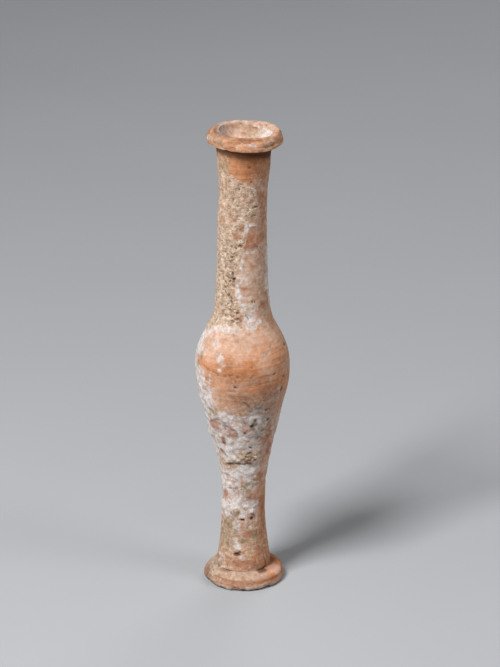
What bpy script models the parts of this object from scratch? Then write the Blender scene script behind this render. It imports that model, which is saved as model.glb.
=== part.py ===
"""A fusiform unguentarium: a slender, wheel-thrown oil flask of fired clay.

It is one piece: a disc foot, a solid stem, a spindle-shaped hollow body, a long neck with a narrow
bore, and an overhanging lip with a dished mouth. Metres, +Z up. The origin is on the ground, under
the middle of the body, and -Y is the side with the chipped foot towards its left.
"""

import math

import bpy

MM = 0.001

# Heights, stacked from the ground up: changing one moves everything above it
FOOT_H = 6.5 * MM            # the disc foot
RING_H = 1.5 * MM            # the low ring where the stem steps out of the disc
STEM_H = 26.5 * MM           # ring to the narrowest part of the stem
BODY_H = 63.0 * MM           # narrowest stem to the widest part of the belly
SHOULDER_H = 26.5 * MM       # belly to the foot of the neck
NECK_H = 48.0 * MM           # foot of the neck to its narrowest part
COLLAR_H = 18.9 * MM         # narrowest neck to the collar under the lip
LIP_UNDER_H = 4.2 * MM       # the hollow underside of the lip
LIP_EDGE_H = 1.1 * MM        # the lip's outer edge
LIP_FACE_H = 3.8 * MM        # the lip's sloping outer face

# Outer radii at those heights
FOOT_GROUND_R = 16.0 * MM
FOOT_R = 17.0 * MM
RING_R = 11.25 * MM
WAIST_R = 9.05 * MM
BELLY_R = 19.8 * MM
NECK_FOOT_R = 11.35 * MM
NECK_R = 9.9 * MM
COLLAR_R = 11.1 * MM
LIP_R = 15.75 * MM
RIM_R = 13.1 * MM

# The foot's rounded edge
FOOT_BULGE_H = 2.2 * MM      # height of the foot's widest line
FOOT_TOP_LEDGE = 0.7 * MM    # flat left on top of the disc, round the ring
FOOT_REST_IN = 2.6 * MM      # the underside is dead flat this far in from its edge

# The hollow
MOUTH_R = 11.1 * MM
MOUTH_H = 7.5 * MM           # depth of the dished mouth
BORE_R = 6.0 * MM
BORE_FLARE_H = 6.0 * MM      # the bore opens into the body over this height
WALL = 4.4 * MM              # thickness of the body's wall
SOLID_H = 24.0 * MM          # solid clay between the narrowest stem and the hollow's floor
FLOOR_ROUND_H = 8.0 * MM     # height of the hollow's rounded floor

# How the hand-made piece strays from a true turned shape
WAIST_DRIFT = 0.45 * MM      # sideways, +X is to the right of the front
NECK_FOOT_DRIFT = -0.2 * MM
NECK_DRIFT = 0.15 * MM
COLLAR_DRIFT = 0.5 * MM
LIP_DRIFT = 0.9 * MM
MOUTH_SHIFT = 0.9 * MM       # the mouth sits off the lip's middle
LIP_ROLL_DEG = 2.3           # the lip's edge hangs down towards +X
RIM_ROLL_DEG = 1.3           # and so does the rim above it, by less
RIM_SQUARE = 2.35            # 2 is a round mouth, more is a squarer one
FACE_SWELL = 0.6 * MM        # the lip's face is this much fuller still on one side
FACE_SWELL_DEG = -115.0      # towards here, from the front towards the right
FACE_SWELL_WIDTH_DEG = 110.0
FOOT_CHIP_RISE = 0.8 * MM    # the underside's edge is broken away by this much
FOOT_CHIP_IN = 0.3 * MM
FOOT_CHIP_DEG = -62.0
FOOT_CHIP_WIDTH_DEG = 28.0

# How the curves swell: above 1 they start slowly
SWELL_BEND = 1.2
SHOULDER_BEND = 1.25
STEM_BEND = 1.6
NECK_BEND = 1.8
FACE_BULGE = 0.45 * MM       # the lip's sloping face is this much fuller than a cone

SIDES = 44

Z_RING = FOOT_H
Z_STEM = Z_RING + RING_H
Z_WAIST = Z_STEM + STEM_H
Z_BELLY = Z_WAIST + BODY_H
Z_NECK_FOOT = Z_BELLY + SHOULDER_H
Z_NECK = Z_NECK_FOOT + NECK_H
Z_COLLAR = Z_NECK + COLLAR_H
Z_EDGE = Z_COLLAR + LIP_UNDER_H
Z_FACE = Z_EDGE + LIP_EDGE_H
Z_TOP = Z_FACE + LIP_FACE_H
Z_DISH = Z_TOP - MOUTH_H
Z_FLOOR = Z_WAIST + SOLID_H
Z_FLOOR_ROUND = Z_FLOOR + FLOOR_ROUND_H
Z_BORE = Z_NECK_FOOT + BORE_FLARE_H


def ease(share):
    """0 at 0 and 1 at 1, level at both ends."""
    share = min(max(share, 0.0), 1.0)
    return share * share * (3.0 - 2.0 * share)


def mix(start, end, share):
    return start + (end - start) * share


def shares(steps):
    """Even shares of the way after a start: steps of them, the last one 1."""
    return [step / steps for step in range(1, steps + 1)]


def body_radius(height):
    """Outer radius from the narrowest stem, over the belly, to the foot of the neck."""
    if height < Z_BELLY:
        share = max(height - Z_WAIST, 0.0) / BODY_H
        return mix(WAIST_R, BELLY_R, ease(share ** SWELL_BEND))
    share = min((height - Z_BELLY) / SHOULDER_H, 1.0)
    return mix(BELLY_R, NECK_FOOT_R, ease(share ** SHOULDER_BEND))


def hollow_radius(height):
    """Inner radius of the body: the wall's thickness inside it, with a rounded floor."""
    radius = max(body_radius(height) - WALL, BORE_R)
    below = (Z_FLOOR_ROUND - height) / FLOOR_ROUND_H
    if below > 0.0:
        radius *= math.sqrt(max(1.0 - below * below, 0.0))
    return radius


def foot_profile():
    """Underside and rounded edge of the disc, from the middle out and up to the ring."""
    points = [(0.0, 0.0), (FOOT_GROUND_R - FOOT_REST_IN, 0.0), (FOOT_GROUND_R, 0.0)]
    for share in shares(3):
        turn = share * math.pi / 2
        radius = mix(FOOT_GROUND_R, FOOT_R, math.sin(turn))
        points.append((radius, FOOT_BULGE_H * (1.0 - math.cos(turn))))
    ledge = RING_R + FOOT_TOP_LEDGE
    for share in shares(6):
        turn = share * math.pi / 2
        height = mix(FOOT_BULGE_H, FOOT_H, math.sin(turn))
        points.append((mix(ledge, FOOT_R, math.cos(turn)), height))
    points.append((RING_R, Z_RING))
    return points


def wall_profile():
    """Outside of the stem, body and neck, from the ring up to the collar."""
    points = [(RING_R, Z_STEM)]
    for share in shares(7):
        radius = mix(WAIST_R, RING_R, (1.0 - share) ** STEM_BEND)
        points.append((radius, mix(Z_STEM, Z_WAIST, share)))
    for share in shares(17):
        height = mix(Z_WAIST, Z_BELLY, share)
        points.append((body_radius(height), height))
    for share in shares(13):
        height = mix(Z_BELLY, Z_NECK_FOOT, share)
        points.append((body_radius(height), height))
    for share in shares(8):
        radius = mix(NECK_R, NECK_FOOT_R, (1.0 - share) ** NECK_BEND)
        points.append((radius, mix(Z_NECK_FOOT, Z_NECK, share)))
    for share in shares(6):
        points.append((mix(NECK_R, COLLAR_R, ease(share)), mix(Z_NECK, Z_COLLAR, share)))
    return points


def lip_profile():
    """The lip's hollow underside, its edge, its full sloping face and the flat rim."""
    points = []
    for share in shares(4):
        turn = share * math.pi / 2
        height = mix(Z_COLLAR, Z_EDGE, math.sin(turn))
        points.append((mix(LIP_R, COLLAR_R, math.cos(turn)), height))
    points.append((LIP_R, Z_FACE))
    for share in shares(5):
        fullness = FACE_BULGE * math.sin(share * math.pi)
        points.append((mix(LIP_R, RIM_R, share) + fullness, mix(Z_FACE, Z_TOP, share)))
    points.append((MOUTH_R, Z_TOP))
    return points


def hollow_profile():
    """The dished mouth, the bore and the hollow body, down to the floor's middle."""
    points = []
    for share in shares(5):
        radius = mix(BORE_R, MOUTH_R, math.cos(share * math.pi / 2))
        points.append((radius, mix(Z_TOP, Z_DISH, math.sin(share * math.pi / 2))))
    for share in shares(4):
        points.append((BORE_R, mix(Z_DISH, Z_BORE, share)))
    for share in shares(10):
        height = mix(Z_NECK_FOOT, Z_FLOOR_ROUND, share)
        points.append((hollow_radius(height), height))
    for share in shares(4):
        height = Z_FLOOR_ROUND - FLOOR_ROUND_H * math.sin(share * math.pi / 2)
        points.append((hollow_radius(height), height))
    return points


def drift(height):
    """Sideways stray of the axis at a height."""
    stations = [(Z_STEM, WAIST_DRIFT), (Z_WAIST, WAIST_DRIFT), (Z_BELLY, 0.0),
                (Z_NECK_FOOT, NECK_FOOT_DRIFT), (Z_NECK, NECK_DRIFT), (Z_COLLAR, COLLAR_DRIFT),
                (Z_FACE, LIP_DRIFT)]
    low_height, low = stations[0]
    for high_height, high in stations[1:]:
        if height < high_height:
            return mix(low, high, ease((height - low_height) / (high_height - low_height)))
        low_height, low = high_height, high
    return low


def near_angle(x, y, centre_deg, width_deg):
    """1 in a direction and 0 past a width to each side; the front is 0, the right is +90."""
    angle = math.degrees(math.atan2(x, -y))
    away = abs((angle - centre_deg + 180.0) % 360.0 - 180.0)
    return ease(1.0 - away / width_deg)


def hand_made(x, y, z):
    """Move a point of the true turned shape to where the hand-made and worn piece has it."""
    radius = math.hypot(x, y)
    mouth = ease((z - Z_FACE) / LIP_FACE_H)
    lip = ease((z - Z_NECK) / (Z_EDGE - Z_NECK))
    edge = ease((radius - (FOOT_GROUND_R - FOOT_REST_IN)) / FOOT_REST_IN) * ease(1.0 - z / FOOT_H)
    chip = edge * near_angle(x, y, FOOT_CHIP_DEG, FOOT_CHIP_WIDTH_DEG)
    swell = near_angle(x, y, FACE_SWELL_DEG, FACE_SWELL_WIDTH_DEG) if radius > RIM_R else 0.0
    swell *= math.sin(math.pi * min(max((z - Z_FACE) / LIP_FACE_H, 0.0), 1.0))
    if radius > 0.0:
        across = abs(x / radius) ** RIM_SQUARE + abs(y / radius) ** RIM_SQUARE
        stretch = mix(1.0, across ** (-1.0 / RIM_SQUARE), mouth)
        stretch += (swell * FACE_SWELL - chip * FOOT_CHIP_IN) / radius
        x *= stretch
        y *= stretch
    roll = math.tan(math.radians(mix(LIP_ROLL_DEG, RIM_ROLL_DEG, mouth)))
    x += drift(z) + MOUTH_SHIFT * mouth
    z += chip * FOOT_CHIP_RISE - roll * lip * x
    return x, y, z


def clay_material():
    material = bpy.data.materials.new("terracotta")
    material.use_nodes = True
    shader = material.node_tree.nodes["Principled BSDF"]
    shader.inputs["Base Color"].default_value = (0.56, 0.31, 0.19, 1.0)
    shader.inputs["Roughness"].default_value = 0.9
    shader.inputs["Metallic"].default_value = 0.0
    return material


def lathe(name, profile):
    """Turn a profile, from the ground up its outer side and down its hollow, into a closed mesh."""
    outline = bpy.data.meshes.new(name + "_profile")
    points = [(radius, 0.0, height) for radius, height in reversed(profile)]
    outline.from_pydata(points, [(i, i + 1) for i in range(len(points) - 1)], [])
    turned = bpy.data.objects.new(name + "_profile", outline)
    bpy.context.scene.collection.objects.link(turned)
    screw = turned.modifiers.new("Lathe", "SCREW")
    screw.axis = "Z"
    screw.angle = 2.0 * math.pi
    screw.steps = SIDES
    screw.render_steps = SIDES
    screw.use_merge_vertices = True
    screw.merge_threshold = 0.00001
    mesh = bpy.data.meshes.new_from_object(turned.evaluated_get(bpy.context.evaluated_depsgraph_get()))
    mesh.name = name
    bpy.data.objects.remove(turned)
    return mesh


def build_unguentarium(collection):
    profile = foot_profile() + wall_profile() + lip_profile() + hollow_profile()
    mesh = lathe("unguentarium", profile)
    for vertex in mesh.vertices:
        vertex.co = hand_made(*vertex.co)
    mesh.shade_smooth()
    mesh.set_sharp_from_angle(angle=math.radians(40.0))
    mesh.materials.append(clay_material())
    collection.objects.link(bpy.data.objects.new("unguentarium", mesh))


def main():
    for leftover in list(bpy.data.objects):
        bpy.data.objects.remove(leftover)
    collection = bpy.data.collections.new("unguentarium")
    bpy.context.scene.collection.children.link(collection)
    build_unguentarium(collection)


main()
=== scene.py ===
# %% [markdown]
# # A terracotta unguentarium, finished in Blender
#
# The real object is an ancient oil flask, thrown on a wheel in pale orange clay and fired without
# a glaze. It lay in the ground for centuries, so tan soil and white lime have grown onto it in
# patches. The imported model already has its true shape. This script gives it its surface: the
# potter's throwing lines, the crusts, the pits and chips, and the colours of each layer.
#
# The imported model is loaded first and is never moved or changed.

import itertools
import math

import bpy
import numpy as np
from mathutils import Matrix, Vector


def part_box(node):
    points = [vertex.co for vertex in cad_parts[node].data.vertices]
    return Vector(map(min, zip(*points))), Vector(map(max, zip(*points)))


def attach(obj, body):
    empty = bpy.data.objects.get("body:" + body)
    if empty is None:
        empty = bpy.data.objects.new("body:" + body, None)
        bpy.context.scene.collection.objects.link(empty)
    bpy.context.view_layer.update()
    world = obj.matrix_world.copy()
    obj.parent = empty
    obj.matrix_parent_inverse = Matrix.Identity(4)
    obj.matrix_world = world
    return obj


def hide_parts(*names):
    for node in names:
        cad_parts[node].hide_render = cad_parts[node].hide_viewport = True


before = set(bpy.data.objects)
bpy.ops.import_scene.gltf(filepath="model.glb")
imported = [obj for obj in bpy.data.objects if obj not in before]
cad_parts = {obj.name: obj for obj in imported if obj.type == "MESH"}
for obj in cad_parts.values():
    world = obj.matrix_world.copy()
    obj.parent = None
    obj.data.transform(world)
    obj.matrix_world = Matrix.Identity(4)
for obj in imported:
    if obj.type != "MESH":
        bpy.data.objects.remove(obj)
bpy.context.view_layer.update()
MM = 0.001
low_corner, high_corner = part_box("unguentarium")
print("nodes:", sorted(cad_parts))
print("height in mm:", round((high_corner.z - low_corner.z) / MM, 1))

# %% [markdown]
# ## The camera
#
# The photograph looks down on the flask from a little above, with a long lens from more than a
# metre away. A camera is easiest to place by the point that it looks at, its distance and its
# elevation, because those three are what a photographer chooses. The lens follows from how many
# pixels wide an object of one metre would be at one metre.

# %% Camera
PICTURE_HEIGHT_PX = 667
SENSOR_MM = 36.0
FOCAL_PX = 3200.0
CAMERA_DISTANCE = 1.333
CAMERA_ELEVATION = math.radians(21.2)
AIM = (0.00308, 0.0, 0.111)

bpy.ops.object.camera_add(
    location=(AIM[0], AIM[1] - CAMERA_DISTANCE * math.cos(CAMERA_ELEVATION),
              AIM[2] + CAMERA_DISTANCE * math.sin(CAMERA_ELEVATION)),
    rotation=(math.pi / 2 - CAMERA_ELEVATION, 0.0, 0.0),
)
camera = bpy.context.active_object
camera.name = "camera"
camera.data.sensor_width = SENSOR_MM
camera.data.lens = SENSOR_MM * FOCAL_PX / PICTURE_HEIGHT_PX
bpy.context.scene.camera = camera
bpy.context.scene.view_settings.view_transform = "Standard"
print("lens in mm:", round(camera.data.lens, 1))

# %% [markdown]
# ## Two small helpers
#
# Blender's colour sockets want linear values, while colours are usually picked as sRGB hex codes,
# so one function converts them. Another adds a node to a material: its properties are given as
# named settings, and its sockets as a dictionary of plain values or of other nodes' outputs.


# %% Colour and node helpers
def linear(hex_code):
    """A Blender colour from an sRGB hex code."""
    values = [int(hex_code[i:i + 2], 16) / 255.0 for i in (1, 3, 5)]
    return tuple(v / 12.92 if v <= 0.04045 else ((v + 0.055) / 1.055) ** 2.4 for v in values) + (1.0,)


def add_node(tree, kind, sockets=None, **settings):
    """Add a node, set its properties, and fill or link its sockets. Returns the node."""
    node = tree.nodes.new(kind)
    for name, value in settings.items():
        setattr(node, name, value)
    for name, value in (sockets or {}).items():
        if isinstance(value, bpy.types.NodeSocket):
            tree.links.new(value, node.inputs[name])
        else:
            node.inputs[name].default_value = value
    return node


print("clay orange, linear:", [round(v, 3) for v in linear("#C98A62")])

# %% [markdown]
# ## The floor
#
# A plain pale floor only has to catch the flask's soft shadow. It is a plane that lies a hair
# under the foot, so that the two surfaces don't share a plane. Its matt paint has a faint cloud
# in it, because a perfectly even colour looks like paper.

# %% Floor
FLOOR_SIZE = 8.0
FLOOR_GAP = 0.05 * MM

bpy.ops.mesh.primitive_plane_add(size=FLOOR_SIZE, location=(0.0, 0.0, -FLOOR_GAP))
floor = bpy.context.active_object
floor.name = "floor"

floor_paint = bpy.data.materials.new("matt_floor_paint")
floor_paint.use_nodes = True
tree = floor_paint.node_tree
floor_shader = tree.nodes["Principled BSDF"]
floor_shader.inputs["Roughness"].default_value = 0.8
place = add_node(tree, "ShaderNodeTexCoord")
haze = add_node(tree, "ShaderNodeTexNoise", {"Vector": place.outputs["Object"], "Scale": 6.0})
shade = add_node(tree, "ShaderNodeMix",
                 {0: haze.outputs["Fac"], 6: linear("#A7A9AC"), 7: linear("#ADAFB2")},
                 data_type="RGBA")
tree.links.new(shade.outputs[2], floor_shader.inputs["Base Color"])
floor.data.materials.append(floor_paint)
print("floor in m:", [round(v, 2) for v in floor.dimensions])

# %% [markdown]
# ## The lights
#
# The photograph's light comes from a soft lamp to the left of the camera and above it. A weaker
# one on the right keeps the shaded side from going black and throws the second, fainter shadow.
# A third, behind the flask, is only there for whoever looks at its back. Each is an area lamp
# turned to face the middle of the flask, and a pale world fills the rest.


# %% Lights
def add_lamp(name, azimuth_deg, elevation_deg, distance, size, watts):
    """A square lamp that faces the flask: azimuth 0 is the camera's side, and + is to its right."""
    azimuth = math.radians(azimuth_deg)
    elevation = math.radians(elevation_deg)
    flat = distance * math.cos(elevation)
    bpy.ops.object.light_add(
        type="AREA",
        location=(flat * math.sin(azimuth), -flat * math.cos(azimuth),
                  AIM[2] + distance * math.sin(elevation)),
        rotation=(math.pi / 2 - elevation, 0.0, azimuth),
    )
    lamp = bpy.context.active_object
    lamp.name = name
    lamp.data.size = size
    lamp.data.energy = watts
    return lamp


LAMPS = [
    # name, azimuth and elevation in degrees, distance and width in metres, watts
    ("key_lamp", -42, 50, 1.2, 0.36, 19),
    ("side_lamp", 66, 34, 1.3, 0.5, 4.6),
    ("back_lamp", 160, 40, 1.4, 0.7, 4),
]
FILL_STRENGTH = 0.09

lamps = [add_lamp(*row) for row in LAMPS]
world = bpy.data.worlds.new("studio")
world.use_nodes = True
background = world.node_tree.nodes["Background"]
background.inputs["Color"].default_value = linear("#F2F4F7")
background.inputs["Strength"].default_value = FILL_STRENGTH
bpy.context.scene.world = world
print("lamps:", [lamp.name for lamp in lamps])

# %% [markdown]
# ## The skin
#
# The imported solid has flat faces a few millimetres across, too coarse for crust and pits. A finer
# skin could be thrown again from a profile, but then it could drift from the solid. Instead a
# copy of the solid is refined, so it follows the solid's form. Its triangles are first paired
# back into the quads of the turned shape. Rings are cut where the quads are tall, and a
# Subdivision Surface then rounds everything off.

# %% Copy the solid and make it quads
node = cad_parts["unguentarium"]
bpy.ops.object.select_all(action="DESELECT")
flask = bpy.data.objects.new("flask", node.data.copy())
bpy.context.scene.collection.objects.link(flask)
flask.select_set(True)
bpy.context.view_layer.objects.active = flask

bpy.ops.object.mode_set(mode="EDIT")
bpy.ops.mesh.select_all(action="SELECT")
bpy.ops.mesh.remove_doubles(threshold=0.01 * MM)
bpy.ops.mesh.tris_convert_to_quads(
    face_threshold=math.pi, shape_threshold=math.pi, topology_influence=1.0
)
bpy.ops.mesh.customdata_custom_splitnormals_clear()
bpy.ops.mesh.mark_sharp(clear=True)
bpy.ops.object.mode_set(mode="OBJECT")
print("faces of the skin's cage:", len(flask.data.polygons))


# %% Helpers that read the mesh and cut rings
def outward(points, normals):
    """How far a point's normal looks away from the upright axis: 1 outside, -1 in the hollow."""
    radius = np.hypot(points[:, 0], points[:, 1])
    radius = np.maximum(radius, 1e-6)
    return (points[:, 0] * normals[:, 0] + points[:, 1] * normals[:, 1]) / radius


def read_mesh(mesh):
    """A mesh's points in millimetres and its normals, as arrays."""
    points = np.empty(len(mesh.vertices) * 3)
    normals = np.empty(len(mesh.vertices) * 3)
    mesh.vertices.foreach_get("co", points)
    mesh.vertices.foreach_get("normal", normals)
    return points.reshape(-1, 3) / MM, normals.reshape(-1, 3)


def select_edges(obj, is_wanted):
    """Select the edges whose ends pass a test, and count them. Edit mode stays on."""
    bpy.ops.object.mode_set(mode="EDIT")
    bpy.ops.mesh.select_mode(type="EDGE")
    bpy.ops.mesh.select_all(action="DESELECT")
    bpy.ops.object.mode_set(mode="OBJECT")
    chosen = 0
    for edge in obj.data.edges:
        edge.select = bool(is_wanted(*edge.vertices))
        chosen += edge.select
    bpy.ops.object.mode_set(mode="EDIT")
    return chosen


def cut_rings(obj, bottom, top, cuts):
    """Split the upright edges of the outer wall between two heights in millimetres."""
    points, normals = read_mesh(obj.data)
    is_outer = outward(points, normals) > 0.2

    def is_upright(start, end):
        low, high = sorted((points[start, 2], points[end, 2]))
        across = math.hypot(*(points[start, :2] - points[end, :2]))
        return high - low > across and low > bottom and high < top and is_outer[start] and is_outer[end]

    select_edges(obj, is_upright)
    bpy.ops.mesh.subdivide(number_cuts=cuts)
    bpy.ops.object.mode_set(mode="OBJECT")


# %% Keep the worn edges crisp
LIP_ROLL_DEG = 2.3           # the lip's edge hangs down towards +X by this
RIM_ROLL_DEG = 1.3           # and the rim above it by this
NARROW_NECK, LIP_BOTTOM, LIP_EDGE, RIM = 172.0, 195.1, 196.2, 200.0
CRISP_RINGS = [
    # height of a ring of edges, smallest and largest radius, crease
    (0, 15, 17, 0.55),
    (6.5, 10.5, 12.2, 0.6),
    (8, 10.5, 12.2, 0.4),
    (LIP_BOTTOM, 14, 17, 0.85),
    (LIP_EDGE, 14, 17, 0.45),
    (RIM, 12.2, 15, 0.5),
    (RIM, 10, 12.1, 0.35),
]
RING_REACH = 0.45


def soft_share(values, start, end):
    """0 before start, 1 after end, and a soft slope between them."""
    share = np.clip((values - start) / (end - start), 0.0, 1.0)
    return share * share * (3.0 - 2.0 * share)


def fade_out(values, start, end):
    """1 before start, 0 after end, and a soft slope between them."""
    return 1.0 - soft_share(values, start, end)


def between(values, start, full, fading, end):
    """1 from full to fading, 0 before start and after end, with soft slopes."""
    return soft_share(values, start, full) * fade_out(values, fading, end)


def unrolled_height(points):
    """Height in millimetres with the lip's small tilt taken out again."""
    lip = soft_share(points[:, 2], NARROW_NECK, LIP_BOTTOM)
    rim = soft_share(points[:, 2], LIP_EDGE, RIM)
    roll = np.tan(np.radians(LIP_ROLL_DEG + (RIM_ROLL_DEG - LIP_ROLL_DEG) * rim))
    return points[:, 2] + roll * lip * points[:, 0]


def crease_ring(obj, level, inner, outer, crease):
    """Mark one level ring of edges to stay crisp under the Subdivision Surface."""
    points = read_mesh(obj.data)[0]
    heights = unrolled_height(points)
    on_level = np.abs(heights - level) < RING_REACH
    centre = (points[on_level, 0].min() + points[on_level, 0].max()) / 2
    ring_radius = np.hypot(points[:, 0] - centre, points[:, 1])
    on_ring = on_level & (ring_radius > inner) & (ring_radius < outer)
    chosen = select_edges(obj, lambda start, end: on_ring[start] and on_ring[end])
    bpy.ops.transform.edge_crease(value=crease)
    bpy.ops.object.mode_set(mode="OBJECT")
    return chosen


for ring in CRISP_RINGS:
    print("crisp edges at", ring[0], "mm:", crease_ring(flask, *ring))

# %% Cut the rings
STEM_BAND = (7.5, 35.0)
BODY_BAND = (34.0, 98.0)
NECK_BAND = (123.5, 172.5)

cut_rings(flask, *STEM_BAND, cuts=1)
cut_rings(flask, *BODY_BAND, cuts=1)
cut_rings(flask, *NECK_BAND, cuts=2)
print("faces after the cuts:", len(flask.data.polygons))

# %% Round it with a Subdivision Surface
SMOOTH_LEVELS = 2

rounding = flask.modifiers.new("Rounding", "SUBSURF")
rounding.levels = SMOOTH_LEVELS
rounding.render_levels = SMOOTH_LEVELS
bpy.ops.object.modifier_apply(modifier=rounding.name)
bpy.ops.object.shade_smooth()
print("faces of the skin:", len(flask.data.polygons))

# %% [markdown]
# ## Finding a place on the flask
#
# Every mark on the flask is placed by the two numbers that an archaeologist would write down: its
# height above the ground, and the angle round the flask. The front is 0 degrees, the right side
# is +90 and the left side is -90. These are worked out for every point of the skin at once, as
# arrays. The axis strays a little, as it does on the real flask, so the middle is measured.
#
# A layer is a value from 0 to 1 at each point, painted with three brushes: a cloud is soft random
# lumps, a mark is an oval patch, and a stroke is a thin line. A row in a table of marks gives the
# angle, height, width, tallness and strength, and a lean in degrees where the oval leans.

# %% Height, angle and side of every point
SLICE = 4.0

points, normals = read_mesh(flask.data)
height = unrolled_height(points)
wall_facing = outward(points, normals)
slice_heights = np.arange(SLICE, RIM, SLICE)
middles = []
for level in slice_heights:
    across = points[np.abs(height - level) < SLICE / 2, 0]
    middles.append((across.min() + across.max()) / 2)
middle = np.interp(height, slice_heights, middles)
radius = np.hypot(points[:, 0] - middle, points[:, 1])
angle = np.degrees(np.arctan2(points[:, 0] - middle, -points[:, 1]))
print("the axis strays by mm:", round(min(middles), 2), "to", round(max(middles), 2))


# %% Shares by height
def above(start, end):
    """0 under the height start, 1 over the height end."""
    return soft_share(height, start, end)


def below(start, end):
    """1 under the height start, 0 over the height end."""
    return fade_out(height, start, end)


def band(start, full, fading, end):
    """1 from the height full to fading, and 0 under start and over end."""
    return between(height, start, full, fading, end)


# %% Clouds
AXIS_PRIMES = (73856093, 19349663, 83492791)
SEED_PRIME = 7919
MIXING_PRIME = 1274126177
SEED_SHIFT = 31.7


def cloud(size, seed, tall=None, octaves=2):
    """Smooth random values from 0 to 1 over the skin, in lumps of a size in millimetres."""
    total = np.zeros(len(points))
    weight_sum = 0.0
    for octave in range(octaves):
        shrink = 2.0 ** octave
        place = points * shrink / np.array([size, size, tall or size]) + seed * SEED_SHIFT
        base = np.floor(place).astype(np.int64)
        part = soft_share(place - base, 0.0, 1.0)
        for corner in itertools.product((0, 1), repeat=3):
            cell = base + np.array(corner)
            mixed = (seed + octave) * SEED_PRIME
            for axis, prime in enumerate(AXIS_PRIMES):
                mixed = mixed ^ cell[:, axis] * prime
            mixed = (mixed ^ (mixed >> 13)) * MIXING_PRIME
            value = ((mixed ^ (mixed >> 16)) & 0xFFFF) / 65535.0
            share = np.prod(np.where(np.array(corner) == 1, part, 1.0 - part), axis=1)
            total += value * share / shrink
        weight_sum += 1.0 / shrink
    return total / weight_sum


fine = cloud(1.4, 1)
coarse = cloud(5, 2)
broad = cloud(13, 20)

# %% The parts of the skin
SOLID_TOP, MOUTH_BOTTOM = 20.0, 192.0

# The hollow is the bore and the body's inside, the mouth is the dish above it, the ground is the
# underside, and outer is the rest: the outside wall with the rim.
hollow = (wall_facing < 0.0) & (height > SOLID_TOP) & (height < MOUTH_BOTTOM)
mouth = above(191.5, 193) * soft_share(-wall_facing, -0.15, 0.15)
mouth *= fade_out(radius, 11, 12.4)
ground = soft_share(-height, -0.6, -0.1) * fade_out(radius, 14.6, 15.6)
outer = fade_out(-wall_facing, -0.1, 0.2)
outer[height < SOLID_TOP] = 1.0
outer = np.where(height > MOUTH_BOTTOM, 1.0 - mouth, outer) * (1.0 - ground)
outer[hollow] = 0.0

# The angle jumps from 180 to -180 at the back. A layer that reaches the back from the right joins
# up across the jump through "behind", or has ended before it through "right_side". One that
# reaches it from the left ends through "in_front".
behind = soft_share(-angle, 130, 165)
in_front = 1.0 - behind
right_side = fade_out(angle, 110, 160)
print("points in the hollow:", int(hollow.sum()))


# %% Oval marks
def around(centre):
    """Degrees from a direction, from -180 to 180."""
    return (angle - centre + 180.0) % 360.0 - 180.0


def facing(centre, full, end):
    """1 within full degrees of a direction, 0 beyond end degrees, and soft between them."""
    return fade_out(np.abs(around(centre)), full, end)


def mark(centre, level, wide, tall, strength=1.0, lean=0.0, ragged=0.8, edge=0.6):
    """An oval patch on the wall, strength inside and 0 outside, with a ragged soft edge."""
    across = np.radians(around(centre)) * radius
    up = height - level
    turn = math.radians(lean)
    along = across * math.cos(turn) + up * math.sin(turn)
    side = up * math.cos(turn) - across * math.sin(turn)
    away = np.hypot(along / (wide / 2), side / (tall / 2))
    away += ragged * ((fine - 0.5) + (coarse - 0.5))
    return strength * fade_out(away, 1.0 - edge, 1.0 + edge)


def marks(rows, **looks):
    """Several oval patches together, the strongest on top."""
    return np.maximum.reduce([mark(*row, **looks) for row in rows])


def added_marks(rows, **looks):
    """Oval patches that add up where they overlap. One of negative strength takes away."""
    return sum(mark(*row, **looks) for row in rows)


def stroke(bends, wide, strength=1.0, ragged=0.5):
    """A thin line through bends of angle and height: strength on it, 0 beside it."""
    nearest = np.full(len(points), 1000.0)
    for (angle_a, height_a), (angle_b, height_b) in zip(bends, bends[1:]):
        across = np.radians(around(angle_a)) * radius
        up = height - height_a
        run = np.radians(angle_b - angle_a) * radius
        rise = height_b - height_a
        share = np.clip((across * run + up * rise) / (run * run + rise * rise + 1e-9), 0.0, 1.0)
        nearest = np.minimum(nearest, np.hypot(across - share * run, up - share * rise))
    away = nearest / (wide / 2) + ragged * (fine - 0.5)
    return strength * fade_out(away, 0.4, 1.6)


def strokes(rows):
    """Several thin lines together, the strongest on top."""
    return np.maximum.reduce([stroke(*row) for row in rows])


def ridge(values, centre, width):
    """1 at the centre and 0 a little way off, like a bell."""
    return np.exp(-((values - centre) / width) ** 2)


left_side = facing(-90, 25, 60)


# %% Push the surface out or in
LEAST_SHARE = 0.002


def push(name, depth):
    """Move the skin along its normals by depths in millimetres, through vertex groups."""
    for sign, side in ((1.0, "out"), (-1.0, "in")):
        amount = np.clip(depth * sign, 0.0, None)
        most = float(amount.max())
        if most <= 0.0:
            continue
        group = flask.vertex_groups.new(name=name + "_" + side)
        for index in np.nonzero(amount > most * LEAST_SHARE)[0]:
            group.add([int(index)], float(amount[index] / most), "REPLACE")
        shift = flask.modifiers.new(name, "DISPLACE")
        shift.vertex_group = group.name
        shift.mid_level = 0.0
        shift.strength = sign * most * MM
        bpy.ops.object.modifier_apply(modifier=shift.name)
        flask.vertex_groups.remove(flask.vertex_groups[name + "_" + side])


# %% [markdown]
# ## The thrown surface
#
# A wheel leaves fine rings where the potter's fingers and a wet cloth ran round the clay. They
# aren't even: each ridge fades in and out on its way round. A cloud that is very wide and only
# a millimetre tall gives just that. The walls swell and dip a little too, where a hand pressed.
#
# The foot has a bead round its top edge and a groove below it. On the left the bead runs out
# into a straighter flank, and crust fills the corner between the stem and the foot.

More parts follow.
